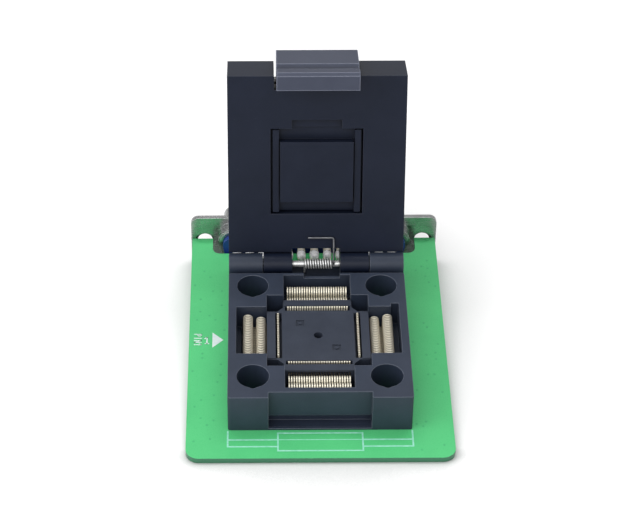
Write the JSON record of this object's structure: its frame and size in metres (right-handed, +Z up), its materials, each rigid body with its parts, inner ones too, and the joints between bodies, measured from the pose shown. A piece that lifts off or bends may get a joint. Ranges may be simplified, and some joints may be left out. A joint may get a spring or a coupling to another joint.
{
  "type": "zif socket",
  "caption": "Zero insertion force test socket for a square flat pack chip, with a sprung lid and latch, on a green board with a D-shaped plug.",
  "frame": {"origin": "middle of the chip seat on the board's top face, which is also the middle of the four corner holes", "axes": "+X right along the hinge, +Y back to the hinge and the plug, +Z up, square to the board; the lid is open"},
  "size_m": [0.053, 0.0725, 0.0599],
  "materials": {
    "green_board": "gloss",
    "dark_moulding": "satin",
    "grey_moulding": "satin",
    "gold_contact": "polished",
    "solder": "satin",
    "pin_steel": "satin",
    "spring_steel": "satin",
    "lid_moulding": "satin",
    "pad_moulding": "satin",
    "latch_moulding": "satin",
    "plated_shell": "polished",
    "blue_insulator": "satin"
  },
  "bodies": {
    "base": {"circuit_board": "green_board", "socket_base": "dark_moulding", "seat_insert": "grey_moulding", "contacts_front": "gold_contact", "contacts_back": "gold_contact", "contacts_left": "gold_contact", "contacts_right": "gold_contact", "contact_solder": "solder", "hinge_pin": "pin_steel", "torsion_spring": "spring_steel", "plug_front_shell": "plated_shell", "plug_rear_shell": "plated_shell", "plug_front_insulator": "blue_insulator", "plug_rear_insulator": "blue_insulator", "plug_pins_long": "gold_contact", "plug_pins_short": "gold_contact", "plug_solder": "solder"},
    "lid": {"lid": "lid_moulding", "spring_arm": "spring_steel", "pad_springs": "spring_steel", "latch_pin": "pin_steel"},
    "pad": {"pressure_pad": "pad_moulding"},
    "latch": {"latch": "latch_moulding", "latch_spring": "spring_steel"}
  },
  "joints": [
    {"name": "lid_hinge", "type": "hinge", "parent": "base", "child": "lid", "pos_m": [0, 0.0205, 0.00855], "axis": [1, 0, 0], "range_deg": [0, 106], "stiffness_Nm_per_rad": 0.02, "springref_deg": -28.65},
    {"name": "latch_hinge", "type": "hinge", "parent": "lid", "child": "latch", "pos_m": [0, 0.03614, 0.04422], "axis": [1, 0, 0], "range_deg": [0, 17.5], "stiffness_Nm_per_rad": 0.002, "springref_deg": -17.19},
    {"name": "pad_slide", "type": "slide", "parent": "lid", "child": "pad", "axis": [0, -0.9613, 0.2756], "range_m": [-0.0006, 0], "stiffness_N_per_m": 150, "springref_m": 0.002}
  ]
}
